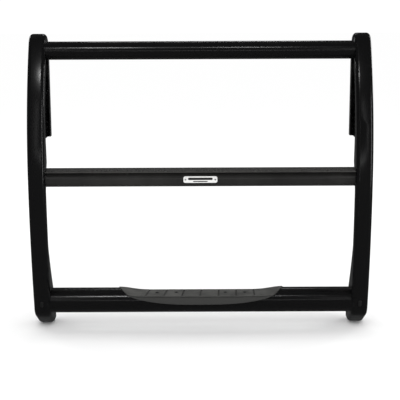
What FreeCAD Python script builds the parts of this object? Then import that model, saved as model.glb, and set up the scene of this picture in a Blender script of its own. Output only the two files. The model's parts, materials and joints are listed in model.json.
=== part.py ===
"""Front grille guard with a built-in step: two plate uprights rimmed with formed channel,
three crossbars between them, a light shelf on the middle bar and a tread pad on the lower one.

Millimetres. X runs across the guard, Z is up, and the front of the guard faces -Y.
The origin is the middle of the footprint, level with the lowest edge of the feet.
"""
import FreeCAD, Part
import math
import os

from FreeCAD import Vector

INCH = 25.4

# overall
width = 40 * INCH
height = 892.0
depth = 7 * INCH

# formed channel that rims each upright
rim_width = 2 * INCH
rim_depth = 1 * INCH
rim_sheet = 3.0
rim_shoulder = 12.0
tail_corner = 3.0
rim_tail_z = 581.0
rim_end_y = 60.0
closer_gap = 0.2
belly_z = 453.0
lower_radius = 2160.0
upper_radius = 900.0
foot_radius = 45.0
sole_slope = math.radians(30)
heel_radius = 30.0
heel_y = 38.0

# side plates
plate_sheet = 4.8
plate_inset = 8.8
foot_rear_y = 75.0
foot_corner = 15.0
bolt_hole_radius = 7.15
bolt_holes = ((50.0, 53.0), (50.0, 103.0), (-4.0, 204.0))

# crossbars
top_bar_radius = 27.0
top_bar_wall = 2.1
top_bar_y = 34.0
top_bar_z = 842.5
middle_bar_radius = 24.15
middle_bar_wall = 2.1
middle_bar_y = -48.0
middle_bar_z = 469.5
step_bar_radius = 1.5 * INCH
step_bar_wall = 3.0
step_bar_y = -14.0
step_bar_z = 85.5

# light shelf
shelf_width = 3 * INCH
shelf_sheet = 3.2
shelf_end_gap = 5.0
shelf_rim_gap = 1.0
shelf_seat = 1.2
light_hole_radius = 5.55
light_hole_spacing = 640.0
light_hole_from_rear = 15.9
shelf_corner = 2.0

# step
seat_height = 14.0
tread_height = 25.0
tray_sheet = 3.0
step_half_length = 252.0
step_corner_radius = 64.5
step_bow_radius = 2640.0
step_rear_y = step_bar_y + 29.0
step_front_y = step_bar_y - 50.5
step_lip_drop = 28.5
step_end_clearance = 0.5
step_lip = 8.0
step_end_sheet = 3.0
step_end_proud = 1.5
groove_width = 3.0
groove_depth = 2.5
groove_pitch = 54.0
groove_count = 7
groove_slant = 18.0
pad_screw_x = (-134.0, -75.0, 75.0, 134.0)
pad_screw_y = step_bar_y - 6.0
screw_radius = 3.0
screw_head_radius = 5.6
screw_head_height = 2.2
screw_head_round = 1.2
screw_length = 20.0
nut_radius = 5.0
nut_bulge_radius = 7.0
nut_bulge = 3.0
nut_length = 14.0

# badge
badge_length = 100.0
badge_height = 19.5
badge_sheet = 1.2
badge_corner = 6.0
badge_rivet_x = 44.0
badge_rivet_radius = 2.4
badge_rivet_head = 1.4

# oval plugs in the rims' coating drain slots
plug_height = 15.0
plug_width = 6.0
plug_dome = 1.6
plug_flange = 1.0
plug_margin = 2.0
plug_stem_past = 2.5
plug_z = 84.0

# welds
bead_leg = 5.0
stitch_leg = 4.0
stitch_length = 40.0
shelf_stitch_x = (-400, -240, -80, 80, 240, 400)
tail_stitch_z = (620, 720, 800)

rim_outer_x = width / 2
rim_inner_x = rim_outer_x - rim_width
plate_inner_x = rim_inner_x + plate_inset
front_y = -depth / 2
rear_y = depth / 2
seat_z = step_bar_z + seat_height
tread_z = step_bar_z + tread_height
tray_top_z = seat_z + tray_sheet
pad_inset = step_end_sheet + step_end_clearance


def polar(centre, radius, angle):
    """Point at an angle in the YZ plane, as (y, z)."""
    return centre[0] + radius * math.cos(angle), centre[1] + radius * math.sin(angle)


def rim_circles():
    """Centre, radius, start angle and end angle of the rim's arcs, from the heel up the front to the crown."""
    lower = (front_y + lower_radius, belly_z)
    upper = (front_y + upper_radius, belly_z)
    heel = (heel_y, heel_radius)
    sole_normal = 1.5 * math.pi - sole_slope
    across = (heel[0] - lower[0]) * math.cos(sole_normal) + (heel[1] - lower[1]) * math.sin(sole_normal)
    swing = math.acos((across + heel_radius - foot_radius) / (lower_radius - foot_radius))
    foot_turn = sole_normal - swing
    foot = polar(lower, lower_radius - foot_radius, foot_turn)
    span = upper[0] - rear_y
    rise = height - belly_z
    half_b = span + upper_radius - rise
    c = upper_radius ** 2 - span ** 2 - rise ** 2
    crown_radius = -half_b + math.sqrt(half_b ** 2 + c)
    crown = (rear_y - crown_radius, height - crown_radius)
    crown_turn = math.atan2(crown[1] - upper[1], crown[0] - upper[0]) % (2 * math.pi)
    return {
        "heel": (heel, heel_radius, 1.5 * math.pi, sole_normal),
        "foot": (foot, foot_radius, sole_normal, foot_turn),
        "lower": (lower, lower_radius, foot_turn, math.pi),
        "upper": (upper, upper_radius, math.pi, crown_turn),
        "crown": (crown, crown_radius, crown_turn, 0.0),
    }


def arc_edge(circle, inward, x):
    """One rim arc, moved inward by a distance, at a given X."""
    centre, radius, start, end = circle
    ends = [polar(centre, radius - inward, a) for a in (start, (start + end) / 2, end)]
    return Part.Arc(*[Vector(x, y, z) for y, z in ends]).toShape()


def rim_edges(inward, x):
    """The rim's line: heel, sole, foot, front, crown and tail, with the tail last."""
    circles = rim_circles()
    arcs = [arc_edge(circle, inward, x) for circle in circles.values()]
    sole_ends = [
        polar(centre, radius - inward, 1.5 * math.pi - sole_slope)
        for centre, radius, _, _ in (circles["heel"], circles["foot"])
    ]
    crown_z = circles["crown"][0][1]
    return arcs + [
        Part.makeLine(Vector(x, rim_end_y, inward), Vector(x, heel_y, inward)),
        Part.makeLine(*[Vector(x, y, z) for y, z in sole_ends]),
        Part.makeLine(Vector(x, rear_y - inward, crown_z), Vector(x, rear_y - inward, rim_tail_z)),
    ]


def extrude(edges, length):
    return Part.Face(Part.Wire(Part.__sortEdges__(edges))).extrude(Vector(length, 0, 0))


def band(outside, inside, x, length):
    """Solid between two inward offsets of the rim's line, from the heel to the end of the crown."""
    outer = rim_edges(outside, x)[:-1]
    inner = rim_edges(inside, x)[:-1]
    crown_z = rim_circles()["crown"][0][1]
    closers = [
        Part.makeLine(Vector(x, rim_end_y, outside), Vector(x, rim_end_y, inside)),
        Part.makeLine(Vector(x, rear_y - outside, crown_z), Vector(x, rear_y - inside, crown_z)),
    ]
    return extrude(outer + inner + closers, length)


def long_outer_edges(solid, outside, x_values):
    """Edges of a band that lie on its outer line, at the given X positions."""
    found = []
    for edge in solid.Edges:
        box = edge.BoundBox
        if box.XLength > 0.01 or not any(abs(box.XMin - x) < 0.01 for x in x_values):
            continue
        middle = edge.valueAt((edge.FirstParameter + edge.LastParameter) / 2)
        if on_rim_line(middle, outside):
            found.append(edge)
    return found


def on_rim_line(point, inward):
    probe = Part.Vertex(Vector(0, point.y, point.z))
    line = Part.Wire(Part.__sortEdges__(rim_edges(inward, 0)))
    return probe.distToShape(line)[0] < 0.01


def rim_channel():
    """Right-hand rim: a channel with rounded shoulders, open towards the plate it caps."""
    outside = band(0, rim_depth, rim_inner_x, rim_width)
    outside = outside.makeFillet(rim_shoulder, long_outer_edges(outside, 0, (rim_inner_x, rim_outer_x)))
    hollow_x = rim_inner_x + rim_sheet
    hollow_width = rim_width - 2 * rim_sheet
    inside = band(rim_sheet, rim_depth + 1, hollow_x, hollow_width)
    hollow_edges = long_outer_edges(inside, rim_sheet, (hollow_x, hollow_x + hollow_width))
    inside = inside.makeFillet(rim_shoulder - rim_sheet, hollow_edges)
    channel = outside.cut(inside)
    for bar in bar_envelopes():
        channel = channel.cut(bar)
    return channel.cut(plug_slot()).removeSplitter()


def tail_channel():
    """Right-hand tail: a square-cornered channel that carries the rim down the back of the fin."""
    crown_z = rim_circles()["crown"][0][1]
    length = crown_z - rim_tail_z
    outside = Part.makeBox(rim_width, rim_depth, length)
    corners = [e for e in outside.Edges if e.BoundBox.ZLength > length - 1 and e.BoundBox.YMin > rim_depth - 1]
    outside = outside.makeFillet(tail_corner, corners)
    inside = Part.makeBox(rim_width - 2 * rim_sheet, rim_depth, length, Vector(rim_sheet, -rim_sheet, 0))
    channel = outside.cut(inside)
    channel.translate(Vector(rim_inner_x, rear_y - rim_depth, rim_tail_z))
    return channel.cut(bar_envelopes()[0]).removeSplitter()


def bar_envelopes():
    """Full cylinders of the three crossbars, out to the side plates."""
    rows = (
        (top_bar_radius, top_bar_y, top_bar_z),
        (middle_bar_radius, middle_bar_y, middle_bar_z),
        (step_bar_radius, step_bar_y, step_bar_z),
    )
    return [cylinder_along_x(r, plate_inner_x, y, z) for r, y, z in rows]


def cylinder_along_x(radius, half_length, y, z):
    """Round bar along X, centred on the middle plane."""
    return Part.makeCylinder(radius, 2 * half_length, Vector(-half_length, y, z), Vector(1, 0, 0))


def rim_front_y(z):
    """Y of the rim's front face at a height on its lower arc."""
    centre, radius, _, _ = rim_circles()["lower"]
    return centre[0] - math.sqrt(radius ** 2 - (z - centre[1]) ** 2)


def oval(height_, width_, x, y, length):
    """Upright oval prism along Y, centred on X and on the plugs' height."""
    half = (height_ - width_) / 2
    r = width_ / 2
    top = Vector(x, y, plug_z + half)
    low = Vector(x, y, plug_z - half)
    right = Vector(r, 0, 0)
    up = Vector(0, 0, r)
    edges = [
        Part.Arc(top + right, top + up, top - right).toShape(),
        Part.makeLine(top - right, low - right),
        Part.Arc(low - right, low - up, low + right).toShape(),
        Part.makeLine(low + right, top + right),
    ]
    return Part.Face(Part.Wire(edges)).extrude(Vector(0, length, 0))


def plug_slot():
    x = (rim_inner_x + rim_outer_x) / 2
    return oval(plug_height, plug_width, x, rim_front_y(plug_z) - rim_sheet, 4 * rim_sheet)


def rim_plug():
    """Moulded plug: an oval flange on the rim's face with a stem that fills the slot."""
    x = (rim_inner_x + rim_outer_x) / 2
    y = rim_front_y(plug_z)
    proud = plug_dome + plug_flange
    flange = oval(plug_height + 2 * plug_margin, plug_width + 2 * plug_margin, x, y - proud, 2 * proud)
    crest = [e for e in flange.Edges if e.BoundBox.YMax < y - proud + 0.01]
    flange = flange.makeFillet(plug_dome, crest)
    front = band(0, rim_depth, rim_inner_x, rim_width)
    stem = oval(plug_height, plug_width, x, y - 0.5, rim_sheet + plug_stem_past)
    return flange.cut(front).fuse(stem).removeSplitter()


def side_plate():
    """Right-hand plate: a deep fin behind the top, a neck at the middle bar and a foot that reaches back."""
    x = plate_inner_x
    inward = rim_sheet
    neck_top = Vector(x, 21, rim_tail_z)
    neck = [
        Vector(x, 27, 508),
        Vector(x, 2, 449),
        Vector(x, -13, 388),
        Vector(x, -12, 323),
        Vector(x, -1, 263),
        Vector(x, 18, 213),
        Vector(x, 47, 153),
        Vector(x, foot_rear_y, 103),
    ]
    sweep = Part.BSplineCurve()
    sweep.interpolate(neck)
    corner = Vector(x, foot_rear_y - foot_corner, inward + foot_corner)
    slant = foot_corner * math.sqrt(0.5)
    edges = rim_edges(inward, x) + [
        Part.makeLine(Vector(x, rear_y - inward, rim_tail_z), neck_top),
        Part.makeLine(neck_top, neck[0]),
        sweep.toShape(),
        Part.makeLine(neck[-1], corner + Vector(0, foot_corner, 0)),
        Part.Arc(
            corner + Vector(0, foot_corner, 0),
            corner + Vector(0, slant, -slant),
            corner + Vector(0, 0, -foot_corner),
        ).toShape(),
    ]
    plate = extrude(edges, plate_sheet)
    for y, z in bolt_holes:
        start = Vector(x - plate_sheet, y, z)
        plate = plate.cut(Part.makeCylinder(bolt_hole_radius, 3 * plate_sheet, start, Vector(1, 0, 0)))
    return plate


def rim_closers():
    """Plates welded across the rim's open ends, at tail and heel, on each side of the side plate."""
    lip = rim_sheet + closer_gap
    across = rim_width - 2 * lip
    tail = Part.makeBox(across, rim_depth - lip, rim_sheet)
    tail.translate(Vector(rim_inner_x + lip, rear_y - rim_depth, rim_tail_z))
    heel = Part.makeBox(across, rim_sheet, rim_depth - lip)
    heel.translate(Vector(rim_inner_x + lip, rim_end_y - rim_sheet, lip))
    plate = side_plate()
    return [solid for box in (tail, heel) for solid in box.cut(plate).Solids]


def tube(radius, wall, y, z):
    """Round tube between the two side plates."""
    bore = cylinder_along_x(radius - wall, plate_inner_x, y, z)
    return cylinder_along_x(radius, plate_inner_x, y, z).cut(bore)


def step_block(inset, low, high, rear=step_rear_y):
    """Block with the step's outline, drawn in by an inset: bowed in front, with round corners."""
    centre_x = step_half_length - step_corner_radius
    bow_y = step_front_y + step_bow_radius
    centre_y = bow_y - math.sqrt((step_bow_radius - step_corner_radius) ** 2 - centre_x ** 2)
    tilt = math.asin(centre_x / (step_bow_radius - step_corner_radius))
    turns = (tilt, (tilt + math.pi / 2) / 2, math.pi / 2)
    corner = [polar((centre_x, centre_y), step_corner_radius - inset, turn - math.pi / 2) for turn in turns]
    right = [Vector(x, y, low) for x, y in corner]
    left = [Vector(-x, y, low) for x, y in corner]
    half = step_half_length - inset
    edges = [
        Part.Arc(left[0], Vector(0, step_front_y + inset, low), right[0]).toShape(),
        Part.Arc(*right).toShape(),
        Part.Arc(*left).toShape(),
        Part.makeLine(right[2], Vector(half, rear, low)),
        Part.makeLine(Vector(half, rear, low), Vector(-half, rear, low)),
        Part.makeLine(Vector(-half, rear, low), left[2]),
    ]
    return Part.Face(Part.Wire(Part.__sortEdges__(edges))).extrude(Vector(0, 0, high - low))


def step_crossbar():
    """Lower tube with its top cut flat, between rounded ends, where the step sits."""
    bar = tube(step_bar_radius, step_bar_wall, step_bar_y, step_bar_z)
    return bar.cut(step_block(0, seat_z, seat_z + step_bar_radius, step_bar_y + 2 * step_bar_radius))


def step_end_plates():
    """Curved plates that close the cut's ends and stand a little proud of the tube."""
    top = seat_z + step_bar_radius
    rear = step_bar_y + 2 * step_bar_radius
    middle = step_half_length - step_corner_radius
    wall = step_block(0, seat_z, top, rear).cut(step_block(step_end_sheet, seat_z, top, rear))
    ends = wall.cut(box_from(-middle, -depth, seat_z - 1, middle, depth, top + 1))
    proud = cylinder_along_x(step_bar_radius + step_end_proud, step_half_length, step_bar_y, step_bar_z)
    return ends.common(proud)


def light_shelf():
    """Flat strip seated on the middle bar, notched round the rims and drilled for two lights."""
    half = plate_inner_x - shelf_end_gap
    bottom = middle_bar_z + middle_bar_radius - shelf_seat
    rear = middle_bar_y + shelf_width / 2
    strip = Part.makeBox(2 * half, shelf_width, shelf_sheet)
    strip.translate(Vector(-half, middle_bar_y - shelf_width / 2, bottom))
    strip = strip.makeFillet(shelf_corner, [e for e in strip.Edges if e.BoundBox.ZLength > shelf_sheet - 0.1])
    for side in (-1, 1):
        centre = Vector(side * light_hole_spacing / 2, rear - light_hole_from_rear, bottom - 1)
        strip = strip.cut(Part.makeCylinder(light_hole_radius, shelf_sheet + 2, centre))
    notch_x = rim_inner_x - shelf_rim_gap
    notch_y = front_y + rim_depth + shelf_rim_gap
    notch = box_from(notch_x, -depth, 0, width, notch_y, height)
    return strip.cut(notch).cut(mirrored(notch)).cut(bar_envelopes()[1])


def box_from(x0, y0, z0, x1, y1, z1):
    return Part.makeBox(x1 - x0, y1 - y0, z1 - z0, Vector(x0, y0, z0))


def step_tray():
    """Steel tray welded over the flat cut in the lower tube."""
    tray = step_block(step_end_sheet, seat_z, tray_top_z)
    half = step_half_length
    front = step_front_y + pad_inset + step_lip
    tray = tray.common(box_from(-half, front, seat_z, half, step_rear_y, tray_top_z))
    for x in pad_screw_x:
        bore = Vector(x, pad_screw_y, seat_z - tray_sheet)
        tray = tray.cut(Part.makeCylinder(nut_radius, 3 * tray_sheet, bore))
    return tray


def step_pad():
    """Moulded tread pad with a hanging front lip and slanted grooves."""
    low = tread_z - step_lip_drop
    half = step_half_length
    front = step_front_y + pad_inset + step_lip
    pad = step_block(pad_inset, low, tread_z)
    pad = pad.cut(box_from(-half, front, low - 1, half, step_rear_y + 1, tray_top_z))
    bar = bar_envelopes()[2].cut(box_from(-2 * half, -depth, tray_top_z, 2 * half, depth, height))
    pad = pad.cut(bar)
    for i in range(groove_count):
        x = (i - (groove_count - 1) / 2) * groove_pitch
        groove = box_from(-groove_width / 2, -depth / 2, 0, groove_width / 2, depth / 2, 2 * groove_depth)
        groove.rotate(Vector(0, 0, 0), Vector(0, 0, 1), groove_slant)
        groove.translate(Vector(x, (step_rear_y + step_front_y) / 2, tread_z - groove_depth))
        pad = pad.cut(groove)
    for x in pad_screw_x:
        pad = pad.cut(Part.makeCylinder(screw_radius, tread_height, Vector(x, pad_screw_y, tray_top_z - 1)))
        recess = Vector(x, pad_screw_y, tread_z - screw_head_height)
        pad = pad.cut(Part.makeCylinder(screw_head_radius, tread_height, recess))
    return pad


def pad_screw(x):
    """Pan-head screw sunk in the tread, down into its rivet nut."""
    shank_top = tread_z - screw_head_height
    head = Part.makeCylinder(screw_head_radius, screw_head_height, Vector(x, pad_screw_y, shank_top))
    rim = [e for e in head.Edges if e.BoundBox.ZMin > tread_z - 0.01]
    head = head.makeFillet(screw_head_round, rim)
    shank = Part.makeCylinder(screw_radius, screw_length, Vector(x, pad_screw_y, shank_top - screw_length))
    return head.fuse(shank).removeSplitter()


def pad_rivet_nut(x):
    """Rivet nut through the tray, with its flange below the pad and its sleeve inside the tube."""
    at = Vector(x, pad_screw_y, tray_top_z - nut_length)
    sleeve = Part.makeCylinder(nut_radius, nut_length, at)
    bulge = Part.makeCylinder(nut_bulge_radius, nut_bulge, Vector(x, pad_screw_y, seat_z - nut_bulge))
    bore = Part.makeCylinder(screw_radius, 2 * nut_length, Vector(x, pad_screw_y, seat_z - 1.5 * nut_length))
    return sleeve.fuse(bulge).cut(bore).removeSplitter()


def badge_plate():
    """Plain plate curved to the middle bar, with rounded corners and nothing written on it."""
    half = badge_length / 2
    shell = cylinder_along_x(middle_bar_radius + badge_sheet, half, middle_bar_y, middle_bar_z)
    shell = shell.cut(cylinder_along_x(middle_bar_radius, half, middle_bar_y, middle_bar_z))
    face = Part.makeBox(badge_length, middle_bar_radius * 2, badge_height)
    face.translate(Vector(-half, middle_bar_y - 2 * middle_bar_radius, middle_bar_z - badge_height / 2))
    face = face.makeFillet(badge_corner, [e for e in face.Edges if e.BoundBox.YLength > middle_bar_radius])
    return shell.common(face)


def badge_rivet(side):
    """Dome head of a blind rivet, seated on the badge."""
    seat = middle_bar_y - middle_bar_radius - badge_sheet
    at = Vector(side * badge_rivet_x, seat + 0.6, middle_bar_z)
    head = Part.makeCylinder(badge_rivet_radius, badge_rivet_head + 0.6, at, Vector(0, -1, 0))
    rim = [e for e in head.Edges if e.BoundBox.YMax < seat - badge_rivet_head + 0.01]
    head = head.makeFillet(badge_rivet_head * 0.7, rim)
    backing = cylinder_along_x(middle_bar_radius + badge_sheet, badge_length, middle_bar_y, middle_bar_z)
    return head.cut(backing)


def ring_weld(radius, y, z):
    """Fillet weld round the end of a crossbar, against the right-hand plate."""
    x = plate_inner_x
    corner = Vector(x, y, z + radius)
    along = Vector(bead_leg, 0, 0)
    up = Vector(0, 0, bead_leg)
    edges = Part.makePolygon([corner, corner - along, corner + up, corner])
    ring = Part.Face(edges).revolve(Vector(0, y, z), Vector(1, 0, 0), 360)
    return max(ring.cut(rim_channel()).Solids, key=lambda solid: solid.Volume)


def stitch(start, direction, normal_a, normal_b, length):
    """Three-cornered bead laid in the angle between two faces."""
    edges = Part.makePolygon([start, start + normal_a * stitch_leg, start + normal_b * stitch_leg, start])
    return Part.Face(edges).extrude(direction * length)


def shelf_welds():
    """Stitches under the shelf, behind the middle bar, beside each light hole and at the centre."""
    bottom = middle_bar_z + middle_bar_radius - shelf_seat
    reach = math.sqrt(middle_bar_radius ** 2 - (bottom - middle_bar_z) ** 2)
    beads = []
    for x in shelf_stitch_x:
        for side in (-1, 1):
            start = Vector(x - stitch_length / 2, middle_bar_y + side * reach, bottom)
            bead = stitch(start, Vector(1, 0, 0), Vector(0, side, 0), Vector(0, 0, -1), stitch_length)
            beads.append(bead.cut(bar_envelopes()[1]))
    return beads


def tail_welds():
    """Stitches that hold the side plate inside the rim's tail, one above the other."""
    x = plate_inner_x
    y = rear_y - rim_sheet
    return [
        stitch(Vector(x, y, z), Vector(0, 0, 1), Vector(-1, 0, 0), Vector(0, -1, 0), stitch_length)
        for z in tail_stitch_z
    ]


def mirrored(shape):
    return shape.mirror(Vector(0, 0, 0), Vector(1, 0, 0))


def pair(shape):
    """A right-hand solid and its mirror image, as one group."""
    return Part.makeCompound([shape, mirrored(shape)])


def build():
    plate = side_plate()
    rim = rim_channel()
    tail = tail_channel()
    bars = (
        ("top", top_bar_radius, top_bar_y, top_bar_z),
        ("middle", middle_bar_radius, middle_bar_y, middle_bar_z),
        ("step", step_bar_radius, step_bar_y, step_bar_z),
    )
    nodes = {
        "right_side_plate": plate,
        "left_side_plate": mirrored(plate),
        "right_rim_channel": rim,
        "left_rim_channel": mirrored(rim),
        "right_tail_channel": tail,
        "left_tail_channel": mirrored(tail),
        "rim_closers": Part.makeCompound([s for closer in rim_closers() for s in (closer, mirrored(closer))]),
        "rim_plugs": pair(rim_plug()),
        "top_crossbar": tube(top_bar_radius, top_bar_wall, top_bar_y, top_bar_z),
        "middle_crossbar": tube(middle_bar_radius, middle_bar_wall, middle_bar_y, middle_bar_z),
        "step_crossbar": step_crossbar(),
        "light_shelf": light_shelf(),
        "step_tray": step_tray(),
        "step_end_plates": step_end_plates(),
        "step_pad": step_pad(),
        "pad_screws": Part.makeCompound([pad_screw(x) for x in pad_screw_x]),
        "pad_rivet_nuts": Part.makeCompound([pad_rivet_nut(x) for x in pad_screw_x]),
        "badge_plate": badge_plate(),
        "badge_rivets": Part.makeCompound([badge_rivet(side) for side in (-1, 1)]),
        "shelf_welds": Part.makeCompound(shelf_welds()),
        "tail_welds": Part.makeCompound([s for bead in tail_welds() for s in (bead, mirrored(bead))]),
    }
    for name, radius, y, z in bars:
        nodes[f"{name}_bar_welds"] = pair(ring_weld(radius, y, z))
    return nodes


os.makedirs("parts", exist_ok=True)
for name, shape in build().items():
    shape.exportStep(f"parts/{name}.step")
    state = "valid" if shape.isValid() else "INVALID"
    print(name, len(shape.Solids), round(shape.Volume / 1000, 1), "cm3", state)
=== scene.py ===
import bpy
import bmesh
import json
import math
from mathutils import Matrix, Vector, noise


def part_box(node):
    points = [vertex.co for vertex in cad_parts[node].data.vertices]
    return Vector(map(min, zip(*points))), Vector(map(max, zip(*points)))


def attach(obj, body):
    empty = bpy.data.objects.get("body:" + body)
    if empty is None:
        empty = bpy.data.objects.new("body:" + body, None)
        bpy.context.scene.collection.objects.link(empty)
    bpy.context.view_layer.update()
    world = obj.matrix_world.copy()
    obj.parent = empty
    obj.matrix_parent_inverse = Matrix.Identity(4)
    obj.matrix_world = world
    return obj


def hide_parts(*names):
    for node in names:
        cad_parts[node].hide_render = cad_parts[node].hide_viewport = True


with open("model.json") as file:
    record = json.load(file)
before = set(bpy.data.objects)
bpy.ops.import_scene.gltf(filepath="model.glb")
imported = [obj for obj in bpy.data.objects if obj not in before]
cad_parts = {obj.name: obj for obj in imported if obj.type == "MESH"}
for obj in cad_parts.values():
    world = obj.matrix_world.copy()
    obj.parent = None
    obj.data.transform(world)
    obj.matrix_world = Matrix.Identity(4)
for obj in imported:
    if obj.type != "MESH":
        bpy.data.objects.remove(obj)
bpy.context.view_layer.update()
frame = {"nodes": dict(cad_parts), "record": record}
print("frame loaded:", len(frame["nodes"]), "CAD nodes")


class Sock:
    # a shader socket that adds Math nodes when it is calculated with
    def __init__(self, shader, socket):
        self.shader = shader
        self.socket = socket

    def math(self, operation, *others):
        return self.shader.add("ShaderNodeMath", {"operation": operation}, [self, *others])

    def __add__(self, other):
        return self.math("ADD", other)

    def __radd__(self, other):
        return self.math("ADD", other)

    def __sub__(self, other):
        return self.math("SUBTRACT", other)

    def __mul__(self, other):
        return self.math("MULTIPLY", other)


class Shader:
    # one material and its node tree
    def __init__(self, name):
        self.material = bpy.data.materials.new(name)
        self.material.use_nodes = True
        self.tree = self.material.node_tree
        self.tree.nodes.clear()
        self.place = self.add("ShaderNodeTexCoord", {}, [], "Object")

    def add(self, kind, settings, values, out=0):
        # a node of any kind: settings first, then socket values or links
        node = self.tree.nodes.new(kind)
        for key, value in settings.items():
            if key == "stops":
                for stop, (position, grey) in zip(node.color_ramp.elements, value):
                    stop.position = position
                    stop.color = (grey, grey, grey, 1.0)
            else:
                setattr(node, key, value)
        for key, value in values.items() if isinstance(values, dict) else enumerate(values):
            if isinstance(value, Sock):
                self.tree.links.new(value.socket, node.inputs[key])
            elif value is not None:
                node.inputs[key].default_value = value
        return Sock(self, node.outputs[out]) if node.outputs else node

    def noise(self, scale, detail=3.0, place=None):
        values = {"Vector": place or self.place, "Scale": scale, "Detail": detail}
        return self.add("ShaderNodeTexNoise", {}, values, "Fac")

    def cells(self, scale):
        return self.add("ShaderNodeTexVoronoi", {}, {"Vector": self.place, "Scale": scale}, "Distance")

    def stretched(self, x, y, z):
        return self.add("ShaderNodeMapping", {}, {"Vector": self.place, "Scale": (x, y, z)})

    def ramp(self, value, stops):
        return self.add("ShaderNodeValToRGB", {"stops": stops}, [value])

    def blend(self, factor, a, b):
        # two colours by a factor
        a, b = [(*c, 1.0) if isinstance(c, tuple) else c for c in (a, b)]
        return self.add("ShaderNodeMix", {"data_type": "RGBA"}, {0: factor, 6: a, 7: b}, 2)

    def facingUp(self):
        normal = self.add("ShaderNodeNewGeometry", {}, [], "Normal")
        return self.add("ShaderNodeSeparateXYZ", {}, [normal], "Z")

    def bump(self, height, depth, strength=1.0, under=None):
        values = {"Height": height, "Distance": depth, "Strength": strength, "Normal": under}
        return self.add("ShaderNodeBump", {}, values)

    def surface(self, color, roughness, normal=None, **fixed):
        color = (*color, 1.0) if isinstance(color, tuple) else color
        values = {"Base Color": color, "Roughness": roughness, "Normal": normal}
        values.update({key.replace("_", " "): value for key, value in fixed.items()})
        shine = self.add("ShaderNodeBsdfPrincipled", {}, values)
        self.add("ShaderNodeOutputMaterial", {}, {"Surface": shine})
        return self.material


# gloss powder coat: near black, with a fine orange peel, soft waves and a little settled dust; the same pale
# colour, laid on more thickly, is also a painted reflection
coat = {"color": (0.0032, 0.0032, 0.0034), "dustAndReflection": (0.045, 0.044, 0.042), "roughness": 0.17,
        "peelScale": 620.0, "peelDepth": 0.00002, "peelStrength": 0.40, "waveScale": 95.0, "waveShare": 0.6,
        "specular": 0.42}


def powderCoat(name, peel=1.0, dustAndReflectionLevel=1.0, paintedReflection=0.0):
    m = Shader(name)
    cloud = m.noise(7.0, 4.0)
    fine = m.noise(240.0, 2.0)
    scuffs = m.ramp(m.noise(30.0, 6.0, m.stretched(1.0, 1.0, 3.0)), [(0.62, 0.0), (0.72, 1.0)])
    up = m.ramp(m.facingUp(), [(0.55, 0.0), (1.0, 1.0)])
    dustAndReflection = up * m.ramp(cloud * 0.6 + fine * 0.4, [(0.42, 0.0), (0.75, 1.0)])
    # real dust on top faces at level 1; a higher level and the cloudy pale share are painted reflection,
    # making a coat paler where the bright floor would be mirrored
    color = m.blend(dustAndReflection * (0.22 * dustAndReflectionLevel) + cloud * paintedReflection, coat["color"], coat["dustAndReflection"])
    roughness = cloud * 0.10 + fine * 0.05 + scuffs * 0.07 + dustAndReflection * 0.18 + (coat["roughness"] - 0.075)
    orange = m.noise(coat["peelScale"], 1.0)
    wave = m.noise(coat["waveScale"], 1.0)
    normal = m.bump(orange + wave * coat["waveShare"], coat["peelDepth"], coat["peelStrength"] * peel)
    return m.surface(color, roughness, normal, **{"Specular IOR Level": coat["specular"]})


# moulded tread: dark grey, leathery grain, paler where soles and dust have been
rubber = {"dark": (0.040, 0.040, 0.038), "pale": (0.092, 0.092, 0.086),
          "grainScale": 900.0, "grainDepth": 0.00018}


def treadRubber(name):
    m = Shader(name)
    grain = m.cells(rubber["grainScale"])
    blotch = m.noise(22.0, 4.0)
    fine = m.noise(1400.0, 2.0)
    up = m.ramp(m.facingUp(), [(0.2, 0.0), (0.95, 1.0)])
    worn = up * m.ramp(blotch * 0.7 + fine * 0.3, [(0.35, 0.15), (0.68, 1.0)])
    color = m.blend(worn, rubber["dark"], rubber["pale"])
    roughness = 0.62 + blotch * 0.12 - grain * 0.10
    normal = m.bump(grain, rubber["grainDepth"], 0.6, m.bump(fine, 0.00008, 0.4))
    return m.surface(color, roughness, normal, **{"Specular IOR Level": 0.4})


def mouldedPlastic(name):
    m = Shader(name)
    grain = m.noise(1500.0, 2.0)
    cloud = m.noise(60.0, 3.0)
    color = m.blend(cloud, (0.005, 0.005, 0.005), (0.010, 0.010, 0.010))
    return m.surface(color, 0.32 + grain * 0.2, m.bump(grain, 0.00005, 0.5))


def blackScrew(name):
    m = Shader(name)
    turned = m.noise(700.0, 3.0, m.stretched(1.0, 1.0, 0.2))
    wear = m.ramp(m.noise(420.0, 5.0), [(0.52, 0.0), (0.70, 1.0)])
    color = m.blend(wear * 0.35, (0.020, 0.020, 0.021), (0.12, 0.12, 0.12))
    return m.surface(color, 0.34 + turned * 0.16, m.bump(turned, 0.00003, 0.5), Metallic=0.85)


def zincPlate(name):
    m = Shader(name)
    spangle = m.cells(500.0)
    cloud = m.noise(140.0, 4.0)
    color = m.blend(spangle * 0.5 + cloud * 0.4, (0.42, 0.42, 0.40), (0.66, 0.66, 0.62))
    return m.surface(color, 0.30 + cloud * 0.2, m.bump(cloud, 0.00004, 0.5), Metallic=1.0)


def whiteEnamel(name):
    m = Shader(name)
    cloud = m.noise(45.0, 4.0)
    peel = m.noise(520.0, 1.0)
    specks = m.ramp(m.noise(900.0, 4.0), [(0.66, 0.0), (0.74, 1.0)])
    color = m.blend(specks * 0.35 + cloud * 0.10, (0.80, 0.80, 0.79), (0.52, 0.52, 0.50))
    return m.surface(color, 0.22 + cloud * 0.12, m.bump(peel, 0.00005, 0.5))


def plainAluminium(name):
    m = Shader(name)
    grain = m.noise(1100.0, 3.0, m.stretched(1.0, 1.0, 0.15))
    color = m.blend(grain, (0.52, 0.52, 0.53), (0.74, 0.74, 0.75))
    return m.surface(color, 0.28 + grain * 0.2, m.bump(grain, 0.00003, 0.5), Metallic=1.0)


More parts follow.
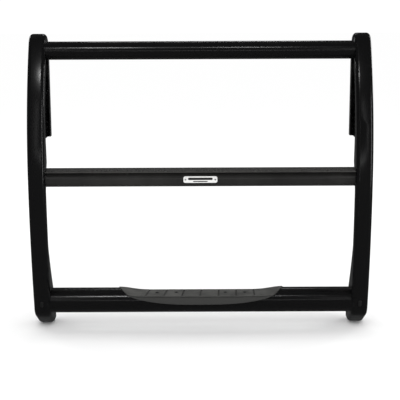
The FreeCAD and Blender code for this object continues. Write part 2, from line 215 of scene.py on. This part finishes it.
finishes = {
    "black_coat": powderCoat("gloss black powder coat"),
    "weld_coat": powderCoat("powder coat over welds", peel=1.6),
    "tread_rubber": treadRubber("grained tread rubber"),
    "black_plastic": mouldedPlastic("moulded black plastic"),
    "screw_steel": blackScrew("black oxide screw"),
    "zinc_steel": zincPlate("zinc plate"),
    "badge_white": whiteEnamel("white enamel"),
    "rivet_aluminium": plainAluminium("plain aluminium"),
}
# painted reflection: these two coats get a paler colour, from a higher dust level and a cloudy pale share, to
# stand for the bright floor mirrored in the shelf's top and the crossbar's front
handled = {
    "light_shelf": powderCoat("powder coat with painted top reflection", dustAndReflectionLevel=5.0, paintedReflection=2.0),
    "middle_crossbar": powderCoat("powder coat with painted reflection", paintedReflection=0.75),
}
print("finishes made:", len(finishes) + len(handled))


def smoothTree():
    # merges the loose CAD triangles and shades them smooth where they meet gently
    tree = bpy.data.node_groups.new("smoothByAngle", "GeometryNodeTree")
    tree.interface.new_socket("Geometry", in_out="INPUT", socket_type="NodeSocketGeometry")
    sharp = tree.interface.new_socket("Sharp angle", in_out="INPUT", socket_type="NodeSocketFloat")
    sharp.default_value = math.radians(28)
    tree.interface.new_socket("Geometry", in_out="OUTPUT", socket_type="NodeSocketGeometry")
    entry = tree.nodes.new("NodeGroupInput")
    merge = tree.nodes.new("GeometryNodeMergeByDistance")
    merge.inputs["Distance"].default_value = 0.000002
    faces = tree.nodes.new("GeometryNodeSetShadeSmooth")
    edges = tree.nodes.new("GeometryNodeSetShadeSmooth")
    edges.domain = "EDGE"
    angle = tree.nodes.new("GeometryNodeInputMeshEdgeAngle")
    compare = tree.nodes.new("FunctionNodeCompare")
    compare.operation = "GREATER_THAN"
    leave = tree.nodes.new("NodeGroupOutput")
    link = tree.links.new
    link(entry.outputs["Geometry"], merge.inputs["Geometry"])
    link(merge.outputs["Geometry"], faces.inputs["Geometry"])
    link(faces.outputs["Geometry"], edges.inputs["Geometry"])
    link(angle.outputs["Unsigned Angle"], compare.inputs["A"])
    link(entry.outputs["Sharp angle"], compare.inputs["B"])
    link(compare.outputs["Result"], edges.inputs["Selection"])
    edges.inputs["Shade Smooth"].default_value = False
    link(edges.outputs["Geometry"], leave.inputs["Geometry"])
    return tree


def soften(node, width):
    # the coat rounds a cut edge, so sharp edges get a small bevel
    bevel = node.modifiers.new("eased edges", "BEVEL")
    bevel.width = width
    bevel.segments = 2
    bevel.limit_method = "ANGLE"
    bevel.angle_limit = math.radians(40)
    bevel.harden_normals = True


eased = {"light_shelf": 0.0007, "step_tray": 0.0004, "rim_closers": 0.0004,
         "right_tail_channel": 0.0006, "left_tail_channel": 0.0006,
         "right_side_plate": 0.0006, "left_side_plate": 0.0006}
smoothing = smoothTree()
slotOf = {part["node"]: part["material_slot"] for part in frame["record"]["subparts"]}
for name, node in frame["nodes"].items():
    node.data.materials.clear()
    node.data.materials.append(handled.get(name, finishes[slotOf[name]]))
    node.modifiers.new("smooth by angle", "NODES").node_group = smoothing
    if name in eased:
        soften(node, eased[name])
print("CAD nodes finished")


def addPiece(name, slotName, mesh, replaced):
    # a finished mesh becomes a piece on the guard
    piece = bpy.data.objects.new(name, mesh)
    bpy.context.scene.collection.objects.link(piece)
    mesh.materials.clear()
    mesh.materials.append(finishes[slotName])
    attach(piece, "root")
    if replaced:
        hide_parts(replaced)


def shadeByAngle(mesh, degrees):
    # smooth faces, with sharp edges kept where they fold by more than an angle
    work = bmesh.new()
    work.from_mesh(mesh)
    bmesh.ops.recalc_face_normals(work, faces=work.faces)
    for face in work.faces:
        face.smooth = True
    for edge in work.edges:
        edge.smooth = len(edge.link_faces) < 2 or edge.calc_face_angle() < math.radians(degrees)
    work.to_mesh(mesh)
    work.free()


def smoothStep(value):
    value = min(max(value, 0.0), 1.0)
    return value * value * (3 - 2 * value)


# tread pad: a dished top with thin grooves, raised end rims and a hanging front lip
treadPad = {"flange": 0.0035, "cornerRadius": 0.0645, "bow": 0.0035, "proud": 0.0025, "ramp": 0.110,
            "edge": 0.0035, "seamHeight": 0.0028, "seamDepth": 0.0030,
            "lipThickness": 0.008, "lipRise": 0.015, "lipBulge": 0.0004, "bottomRound": 0.0015,
            "grooves": 7, "groovePitch": 0.054, "grooveWidth": 0.0036, "grooveDepth": 0.0040,
            "slantLeft": 9.0, "slantRight": -1.0, "screws": (-0.134, -0.075, 0.075, 0.134),
            "dimple": 0.0068, "dimpleDepth": 0.0024, "dimpleEdge": 0.0014, "grain": 0.00016,
            "step": 0.0013, "across": 46, "shoulderSteps": 6, "lipSteps": 8}


def padTools():
    # the pad's outline and heights, worked out from the CAD pad and tube
    low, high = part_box("step_pad")
    tubeLow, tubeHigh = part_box("step_crossbar")
    radius = (tubeHigh[1] - tubeLow[1]) / 2
    tubeY, tubeZ = tubeLow[1] + radius, tubeLow[2] + radius
    half = high[0] + treadPad["flange"]
    corner = treadPad["cornerRadius"]
    cornerX = half - corner
    cornerY = low[1] + treadPad["bow"] + corner

    def front(x):
        if abs(x) < cornerX:
            return low[1] + treadPad["bow"] * (x / cornerX) ** 2
        return cornerY - math.sqrt(max(corner ** 2 - (abs(x) - cornerX) ** 2, 0.0))

    def tubeTop(y):
        return tubeZ + math.sqrt(max(radius ** 2 - (y - tubeY) ** 2, 0.0))

    def top(x, y):
        rise = max(tubeTop(y) + treadPad["proud"] - high[2], 0.0)
        return high[2] + rise * smoothStep(1 - (half - abs(x)) / treadPad["ramp"])

    def lipBottom(x, y):
        free = low[2] + treadPad["lipRise"] * (abs(x) / cornerX) ** 3
        seated = tubeTop(y) - 0.001 if y > tubeY - radius else free
        return max(free, seated)

    return low, high, half, front, top, lipBottom


def padDetail(x, y, centreY):
    # how far the tread's skin goes down at a place: grooves, screw dimples and grain
    down = 0.0
    count = treadPad["grooves"]
    for i in range(count):
        share = i / (count - 1)
        slant = math.radians(treadPad["slantLeft"] * (1 - share) + treadPad["slantRight"] * share)
        grooveX = (i - (count - 1) / 2) * treadPad["groovePitch"]
        away = abs((x - grooveX) * math.cos(slant) - (y - centreY) * math.sin(slant))
        down = max(down, treadPad["grooveDepth"] * smoothStep(1.5 - away / treadPad["grooveWidth"] * 2))
    for screwX in treadPad["screws"]:
        away = math.hypot(x - screwX, y - screwY)
        inside = (treadPad["dimple"] - away) / treadPad["dimpleEdge"]
        down = max(down, treadPad["dimpleDepth"] * smoothStep(inside))
    grain = noise.noise(Vector((x * 420, y * 420, 3.7))) + 0.5 * noise.noise(Vector((x * 900, y * 900, 8.1)))
    return down + treadPad["grain"] * grain


def padSection(x, tools):
    # one closed ring of the pad, from the rear foot over the top and down the lip
    low, high, _, front, top, lipBottom = tools
    rear, nose = high[1], front(x)
    centreY = (low[1] + high[1]) / 2
    edge = min(treadPad["edge"], (rear - nose) / 5)
    ring = [(rear, baseZ), (rear, top(x, rear) - 0.002), (rear - 0.0006, top(x, rear) - 0.0006)]
    start = rear - 0.002
    end = min(nose + edge, start - 0.001)
    count = treadPad["across"]
    for i in range(count + 1):
        y = start + (end - start) * i / count
        ring.append((y, top(x, y) - padDetail(x, y, centreY)))
    shoulder = top(x, nose + edge)
    foot = min(lipBottom(x, nose), shoulder - 0.004)
    drop = min(edge, (shoulder - foot) * 0.3)
    for i in range(1, treadPad["shoulderSteps"] + 1):
        turn = math.pi / 2 * i / treadPad["shoulderSteps"]
        ring.append((nose + edge * (1 - math.sin(turn)), shoulder - drop * (1 - math.cos(turn))))
    seam = min(treadPad["seamHeight"], (shoulder - drop - foot) * 0.3)
    deep = min(treadPad["seamDepth"], (rear - nose) * 0.2)
    shoulder -= drop
    for share, inward in ((0.1, 0.85), (0.25, 1.0), (0.75, 1.0), (0.9, 0.85), (1.0, 0.0)):
        ring.append((nose + deep * inward, shoulder - seam * share))
    shoulder -= seam
    bottomRound = min(treadPad["bottomRound"], (shoulder - foot) * 0.4)
    for i in range(1, treadPad["lipSteps"] + 1):
        share = i / treadPad["lipSteps"]
        z = shoulder + (foot + bottomRound - shoulder) * share
        ring.append((nose - treadPad["lipBulge"] * math.sin(math.pi * share), z))
    back = min(nose + treadPad["lipThickness"], rear - 0.0005)
    ring += [(nose + 0.3 * bottomRound, foot + 0.3 * bottomRound), (nose + bottomRound, foot),
             (back - 0.0002, foot), (back, foot + 0.0002), (back, max(baseZ, foot + 0.0004))]
    return ring


def makeTreadPad():
    tools = padTools()
    half = tools[2] - 0.0002
    count = round(2 * half / treadPad["step"])
    rings = []
    for i in range(count + 1):
        x = -half + 2 * half * i / count
        rings.append([(x, y, z) for y, z in padSection(x, tools)])
    size = len(rings[0])
    faces = [(i * size + j, (i + 1) * size + j, (i + 1) * size + (j + 1) % size, i * size + (j + 1) % size)
             for i in range(count) for j in range(size)]
    faces += [tuple(range(size)), tuple(count * size + j for j in reversed(range(size)))]
    mesh = bpy.data.meshes.new("tread_pad")
    mesh.from_pydata([point for ring in rings for point in ring], [], faces)
    shadeByAngle(mesh, 50)
    addPiece("tread_pad", "tread_rubber", mesh, "step_pad")
    print("tread pad made:", len(mesh.polygons), "faces")


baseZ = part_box("step_tray")[1][2]
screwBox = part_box("pad_screws")
screwY = (screwBox[0][1] + screwBox[1][1]) / 2
makeTreadPad()


def treeWith(name, inputs):
    # an empty Geometry Nodes tree with named inputs
    tree = bpy.data.node_groups.new(name, "GeometryNodeTree")
    tree.interface.new_socket("Geometry", in_out="INPUT", socket_type="NodeSocketGeometry")
    for label, kind in inputs:
        tree.interface.new_socket(label, in_out="INPUT", socket_type=kind)
    tree.interface.new_socket("Geometry", in_out="OUTPUT", socket_type="NodeSocketGeometry")
    return tree, tree.nodes.new("NodeGroupInput"), tree.nodes.new("NodeGroupOutput")


def beadTree():
    # weld beads: overlapping flattened ripples along every edge path
    inputs = (("Pitch", "NodeSocketFloat"), ("Radius", "NodeSocketFloat"), ("Length", "NodeSocketFloat"),
              ("Unevenness", "NodeSocketFloat"), ("Seed", "NodeSocketInt"), ("Finish", "NodeSocketMaterial"))
    tree, entry, leave = treeWith("rippledBead", inputs)
    link = tree.links.new
    path = tree.nodes.new("GeometryNodeMeshToCurve")
    even = tree.nodes.new("GeometryNodeResampleCurve")
    even.mode = "LENGTH"
    ripple = tree.nodes.new("GeometryNodeMeshUVSphere")
    ripple.inputs["Segments"].default_value = 12
    ripple.inputs["Rings"].default_value = 7
    ripple.inputs["Radius"].default_value = 1.0
    squeeze = tree.nodes.new("ShaderNodeCombineXYZ")
    squeeze.inputs["X"].default_value = 1.0
    squeeze.inputs["Y"].default_value = 1.0
    flat = tree.nodes.new("GeometryNodeTransform")
    along = tree.nodes.new("GeometryNodeInputTangent")
    aim = tree.nodes.new("FunctionNodeAlignRotationToVector")
    aim.axis = "Z"
    spread = tree.nodes.new("FunctionNodeRandomValue")
    least = tree.nodes.new("ShaderNodeMath")
    least.operation = "SUBTRACT"
    least.inputs[0].default_value = 1.0
    size = tree.nodes.new("ShaderNodeMath")
    size.operation = "MULTIPLY"
    place = tree.nodes.new("GeometryNodeInstanceOnPoints")
    real = tree.nodes.new("GeometryNodeRealizeInstances")
    smooth = tree.nodes.new("GeometryNodeSetShadeSmooth")
    finish = tree.nodes.new("GeometryNodeSetMaterial")
    link(entry.outputs["Geometry"], path.inputs["Mesh"])
    link(path.outputs["Curve"], even.inputs["Curve"])
    link(entry.outputs["Pitch"], even.inputs["Length"])
    link(entry.outputs["Length"], squeeze.inputs["Z"])
    link(ripple.outputs["Mesh"], flat.inputs["Geometry"])
    link(squeeze.outputs["Vector"], flat.inputs["Scale"])
    link(along.outputs["Tangent"], aim.inputs["Vector"])
    link(entry.outputs["Unevenness"], least.inputs[1])
    link(least.outputs["Value"], spread.inputs[2])
    spread.inputs[3].default_value = 1.0
    link(entry.outputs["Seed"], spread.inputs["Seed"])
    link(spread.outputs[1], size.inputs[0])
    link(entry.outputs["Radius"], size.inputs[1])
    link(even.outputs["Curve"], place.inputs["Points"])
    link(flat.outputs["Geometry"], place.inputs["Instance"])
    link(aim.outputs["Rotation"], place.inputs["Rotation"])
    link(size.outputs["Value"], place.inputs["Scale"])
    link(place.outputs["Instances"], real.inputs["Geometry"])
    link(real.outputs["Geometry"], smooth.inputs["Geometry"])
    link(smooth.outputs["Geometry"], finish.inputs["Geometry"])
    link(entry.outputs["Finish"], finish.inputs["Material"])
    link(finish.outputs["Geometry"], leave.inputs["Geometry"])
    return tree


def copiesTree():
    # the same small part on every point of the guide mesh
    inputs = (("Part", "NodeSocketObject"), ("Finish", "NodeSocketMaterial"))
    tree, entry, leave = treeWith("copiesOnPoints", inputs)
    link = tree.links.new
    part = tree.nodes.new("GeometryNodeObjectInfo")
    place = tree.nodes.new("GeometryNodeInstanceOnPoints")
    real = tree.nodes.new("GeometryNodeRealizeInstances")
    finish = tree.nodes.new("GeometryNodeSetMaterial")
    link(entry.outputs["Part"], part.inputs["Object"])
    link(entry.outputs["Geometry"], place.inputs["Points"])
    link(part.outputs["Geometry"], place.inputs["Instance"])
    link(place.outputs["Instances"], real.inputs["Geometry"])
    link(real.outputs["Geometry"], finish.inputs["Geometry"])
    link(entry.outputs["Finish"], finish.inputs["Material"])
    link(finish.outputs["Geometry"], leave.inputs["Geometry"])
    return tree


def grown(name, guide, tree, values):
    # runs a tree on a guide mesh and gives back the plain mesh
    holder = bpy.data.objects.new(name + "_guide", guide)
    bpy.context.scene.collection.objects.link(holder)
    modifier = holder.modifiers.new("grow", "NODES")
    modifier.node_group = tree
    for item in tree.interface.items_tree:
        if item.in_out == "INPUT" and item.name in values:
            modifier[item.identifier] = values[item.name]
    ready = holder.evaluated_get(bpy.context.evaluated_depsgraph_get())
    mesh = bpy.data.meshes.new_from_object(ready)
    mesh.name = name
    bpy.data.objects.remove(holder)
    return mesh


# weld beads, each replacing the plain fillet of the CAD
weldBeads = {"leg": 0.005, "stitchLeg": 0.0038, "pitch": 0.0021, "length": 0.62, "unevenness": 0.14,
             "stitchLength": 0.040, "shelfStitches": 6, "tailStarts": (0.0, 0.100, 0.180),
             "ringPoints": 72, "seed": 11}


def makeBead(name, node, paths, leg, seed):
    points, edges = [], []
    for path, closed in paths:
        first = len(points)
        points += path
        edges += [(first + i, first + i + 1) for i in range(len(path) - 1)]
        if closed:
            edges.append((len(points) - 1, first))
    guide = bpy.data.meshes.new(name + "_guide")
    guide.from_pydata(points, edges, [])
    values = {"Pitch": weldBeads["pitch"], "Radius": leg * 0.62, "Length": weldBeads["length"],
              "Unevenness": weldBeads["unevenness"], "Seed": seed, "Finish": finishes["weld_coat"]}
    addPiece(name, "weld_coat", grown(name, guide, bead, values), node)


def ringPaths(node):
    # a circle round both ends of a crossbar, in the corner against the side plates
    low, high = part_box(node)
    radius = (high[1] - low[1]) / 2
    y, z = low[1] + radius, low[2] + radius
    out = weldBeads["leg"] * 0.3
    count = weldBeads["ringPoints"]
    turns = [2 * math.pi * i / count for i in range(count)]
    ring = [(y + (radius + out) * math.cos(turn), z + (radius + out) * math.sin(turn)) for turn in turns]
    return [([(side * (high[0] - out), *at) for at in ring], True) for side in (-1, 1)]


def straightPath(start, end):
    return [tuple(a + (b - a) * i / 4 for a, b in zip(start, end)) for i in range(5)], False


def shelfPaths():
    low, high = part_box("shelf_welds")
    run = weldBeads["stitchLength"]
    inset = weldBeads["stitchLeg"]
    paths = []
    count = weldBeads["shelfStitches"]
    for i in range(count):
        x = low[0] + (high[0] - low[0] - run) * i / (count - 1)
        for y in (low[1] + inset, high[1] - inset):
            paths.append(straightPath((x, y, high[2] - 0.0006), (x + run, y, high[2] - 0.0006)))
    return paths


def tailPaths():
    low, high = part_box("tail_welds")
    out = weldBeads["stitchLeg"] * 0.3
    plateX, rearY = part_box("right_side_plate")[0][0], high[1]
    return [straightPath((side * (plateX - out), rearY - out, low[2] + start),
                         (side * (plateX - out), rearY - out, low[2] + start + weldBeads["stitchLength"]))
            for side in (-1, 1) for start in weldBeads["tailStarts"]]


bead = beadTree()
for order, bar in enumerate(("top", "middle", "step")):
    seed = weldBeads["seed"] + order
    makeBead(bar + "_bar_beads", bar + "_bar_welds", ringPaths(bar + "_crossbar"), weldBeads["leg"], seed)
makeBead("shelf_beads", "shelf_welds", shelfPaths(), weldBeads["stitchLeg"], weldBeads["seed"] + 3)
makeBead("tail_beads", "tail_welds", tailPaths(), weldBeads["stitchLeg"], weldBeads["seed"] + 4)
print("weld beads laid")


# round small parts: (radius, height) profiles turned into a mesh, the first ones with a six-sided socket
def turned(name, profile, sides, socketRings=0):
    points, faces = [], []
    for ring, (radius, z) in enumerate(profile):
        for i in range(sides):
            turn = 2 * math.pi * i / sides
            reach = radius
            if ring < socketRings:
                reach = radius / math.cos(turn % (math.pi / 3) - math.pi / 6)
            points.append((reach * math.cos(turn), reach * math.sin(turn), z))
    for ring in range(len(profile) - 1):
        for i in range(sides):
            a, b = ring * sides + i, ring * sides + (i + 1) % sides
            faces.append((a, b, b + sides, a + sides))
    last = (len(profile) - 1) * sides
    faces += [tuple(range(sides)), tuple(last + i for i in reversed(range(sides)))]
    mesh = bpy.data.meshes.new(name)
    mesh.from_pydata(points, [], faces)
    shadeByAngle(mesh, 35)
    return bpy.data.objects.new(name, mesh)


def placeCopies(name, slotName, node, part, points):
    bpy.context.scene.collection.objects.link(part)
    guide = bpy.data.meshes.new(name + "_guide")
    guide.from_pydata(points, [], [])
    mesh = grown(name, guide, copies, {"Part": part, "Finish": finishes[slotName]})
    bpy.data.objects.remove(part)
    addPiece(name, slotName, mesh, node)


# pan-head screws with a hexagon socket
screw = {"radius": 0.0056, "height": 0.0022, "round": 0.0011, "socket": 0.0021, "socketDepth": 0.0016,
         "chamfer": 0.0003, "shank": 0.003, "sides": 48}


def makeScrews():
    low, high = screwBox
    r, h = screw["radius"], screw["height"]
    deep = h - screw["socketDepth"]
    profile = [(screw["socket"] * 0.98, deep), (screw["socket"], h - screw["chamfer"]),
               (screw["socket"] + screw["chamfer"], h)]
    for i in range(7):
        turn = math.pi / 2 * i / 6
        profile.append((r - screw["round"] * (1 - math.sin(turn)), h - screw["round"] * (1 - math.cos(turn))))
    profile += [(r, 0.0), (screw["shank"], 0.0), (screw["shank"], low[2] - high[2] + h)]
    part = turned("screwShape", profile, screw["sides"], 3)
    points = [(x, screwY, high[2] - h) for x in treadPad["screws"]]
    placeCopies("socket_screws", "screw_steel", "pad_screws", part, points)


copies = copiesTree()
makeScrews()
print("screws placed")


# badge: a blank curved plate with a raised border and two plain stripes
badge = {"corner": 0.0055, "border": 0.0022, "raised": 0.0005, "columns": 96, "rows": 28,
         "stripes": ((0.0022, 0.072, 0.0066), (-0.0056, 0.042, 0.0028)), "stripeProud": 0.00025,
         "stripeRows": 8, "stripeColumns": 40, "stripeSunk": 0.0002, "thickness": 0.0012,
         "borderSlope": 0.0006}


def badgeMesh(name, centreZ, width, height, corner, rows, columns, inner, outer, border=0.0):
    # a rounded plate wrapped on the middle bar, with an optional raised border
    barLow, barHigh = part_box("middle_crossbar")
    radius = (barHigh[1] - barLow[1]) / 2
    barY, barZ = barLow[1] + radius, barLow[2] + radius
    points, faces = [], []

    def skin(lift):
        first = len(points)
        for row in range(rows + 1):
            v = (2 * row / rows - 1) * height / 2
            over = max(abs(v) - (height / 2 - corner), 0.0)
            half = width / 2 - corner + math.sqrt(max(corner ** 2 - over ** 2, 0.0))
            for column in range(columns + 1):
                u = (2 * column / columns - 1) * half
                gap = min(half - abs(u), height / 2 - abs(v))
                lip = smoothStep((border - gap) / badge["borderSlope"]) if border and lift == outer else 0.0
                reach = radius + lift + badge["raised"] * lip
                z = centreZ - barZ + v
                points.append((u, barY - math.sqrt(reach ** 2 - z ** 2), barZ + z))
        return first

    back, face = skin(inner), skin(outer)
    wide = columns + 1
    for first in (back, face):
        for row in range(rows):
            for column in range(columns):
                a = first + row * wide + column
                faces.append((a, a + 1, a + 1 + wide, a + wide))
    rim = list(range(wide)) + [r * wide + columns for r in range(1, rows + 1)]
    rim += [rows * wide + c for c in reversed(range(columns))] + [r * wide for r in reversed(range(1, rows))]
    for i, at in enumerate(rim):
        after = rim[(i + 1) % len(rim)]
        faces.append((back + at, back + after, face + after, face + at))
    mesh = bpy.data.meshes.new(name)
    mesh.from_pydata(points, [], faces)
    shadeByAngle(mesh, 40)
    return mesh


def makeBadge():
    low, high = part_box("badge_plate")
    middle = (low[2] + high[2]) / 2
    thick = badge["thickness"]
    plate = badgeMesh("badge", middle, high[0] - low[0], high[2] - low[2], badge["corner"], badge["rows"],
                      badge["columns"], 0.0, thick, badge["border"])
    addPiece("badge", "badge_white", plate, "badge_plate")
    for i, (up, width, height) in enumerate(badge["stripes"]):
        stripe = badgeMesh("badge_stripe_%d" % (i + 1), middle + up, width, height, height * 0.3,
                           badge["stripeRows"], badge["stripeColumns"],
                           thick - badge["stripeSunk"], thick + badge["stripeProud"])
        addPiece("badge_stripe_%d" % (i + 1), "black_plastic", stripe, None)


makeBadge()
print("badge made")


# stage: a pale floor, narrow lights in front and above, and broader ones behind
stage = {"floorHalf": 30.0, "floorColor": (0.92, 0.92, 0.92), "room": 1.08, "mirroredRoom": 0.05,
         "mirroredFloor": 0.09, "keyPower": 10.5, "fillPower": 6.0, "sidePower": 16.0, "frontPower": 0.8,
         "lowPower": 1.6, "backPower": 16.0}


def floorPiece():
    half = stage["floorHalf"]
    mesh = bpy.data.meshes.new("floor")
    corners = [(-half, -half, 0), (half, -half, 0), (half, half, 0), (-half, half, 0)]
    mesh.from_pydata(corners, [], [(0, 1, 2, 3)])
    floor = bpy.data.objects.new("floor", mesh)
    bpy.context.scene.collection.objects.link(floor)
    floor.location.z = -0.0005
    m = Shader("pale floor")
    pale = m.add("ShaderNodeBsdfDiffuse", {}, {"Color": (*stage["floorColor"], 1.0)})
    dim = m.add("ShaderNodeEmission", {}, {"Color": (1.0, 1.0, 1.0, 1.0), "Strength": stage["mirroredFloor"]})
    glossy = m.add("ShaderNodeLightPath", {}, {}, "Is Glossy Ray")
    m.add("ShaderNodeOutputMaterial", {}, {"Surface": m.add("ShaderNodeMixShader", {}, [glossy, pale, dim])})
    mesh.materials.append(m.material)


def areaLight(name, place, aim, size, power):
    data = bpy.data.lights.new(name, "AREA")
    data.shape = "RECTANGLE"
    data.size, data.size_y = size
    data.energy = power
    light = bpy.data.objects.new(name, data)
    bpy.context.scene.collection.objects.link(light)
    light.location = place
    light.rotation_euler = (Vector(aim) - Vector(place)).to_track_quat("-Z", "Y").to_euler()


def room():
    # pale to the eye and for the floor's light, dim where it is mirrored in the coat
    world = bpy.data.worlds.new("studio")
    bpy.context.scene.world = world
    world.use_nodes = True
    nodes, link = world.node_tree.nodes, world.node_tree.links.new
    nodes.clear()
    path = nodes.new("ShaderNodeLightPath")
    pale = nodes.new("ShaderNodeBackground")
    pale.inputs["Color"].default_value = (1.0, 1.0, 1.0, 1.0)
    pale.inputs["Strength"].default_value = stage["room"]
    dim = nodes.new("ShaderNodeBackground")
    dim.inputs["Color"].default_value = (1.0, 1.0, 1.0, 1.0)
    dim.inputs["Strength"].default_value = stage["mirroredRoom"]
    mix = nodes.new("ShaderNodeMixShader")
    end = nodes.new("ShaderNodeOutputWorld")
    link(path.outputs["Is Glossy Ray"], mix.inputs["Fac"])
    link(pale.outputs[0], mix.inputs[1])
    link(dim.outputs[0], mix.inputs[2])
    link(mix.outputs[0], end.inputs["Surface"])


def studio():
    floorPiece()
    room()
    middle = (0.0, 0.0, 0.45)
    areaLight("overhead strip left", (-0.66, -3.2, 3.25), middle, (0.34, 0.10), stage["keyPower"])
    areaLight("overhead strip right", (0.30, -3.2, 3.25), middle, (0.34, 0.12), stage["fillPower"])
    areaLight("side softbox", (2.6, -1.7, 0.80), middle, (0.35, 2.0), stage["sidePower"])
    for side in (-1, 1):
        place, aim = (side * 0.99, -3.6, 1.55), (side * 0.48, 0.0, 0.7)
        areaLight("upright softbox", place, aim, (0.10, 1.7), stage["frontPower"])
    areaLight("low strip", (0.0, -3.5, 0.70), (0.0, 0.0, 0.70), (1.6, 0.14), stage["lowPower"])
    areaLight("back softbox right", (2.9, 2.2, 1.6), middle, (0.5, 1.8), stage["backPower"])
    areaLight("back softbox left", (-2.7, 2.6, 1.9), middle, (0.4, 1.6), stage["backPower"] * 0.7)
    areaLight("back overhead", (0.0, 3.0, 3.4), middle, (1.6, 0.3), stage["backPower"] * 0.5)
    bpy.context.scene.view_settings.view_transform = "Standard"
    print("studio lit")


camera = {"place": (0.0, -3.045, 0.986), "pitch": math.radians(11.0), "roll": math.radians(-0.23),
          "lens": 92.1, "sensor": 36.0, "shift": (-0.0012, 0.0)}


def makeCamera():
    data = bpy.data.cameras.new("camera")
    data.sensor_width = camera["sensor"]
    data.lens = camera["lens"]
    data.shift_x, data.shift_y = camera["shift"]
    holder = bpy.data.objects.new("camera", data)
    bpy.context.scene.collection.objects.link(holder)
    turn = Matrix.Rotation(math.pi / 2 - camera["pitch"], 4, "X") @ Matrix.Rotation(camera["roll"], 4, "Z")
    holder.matrix_world = Matrix.Translation(camera["place"]) @ turn
    bpy.context.scene.camera = holder


studio()
makeCamera()
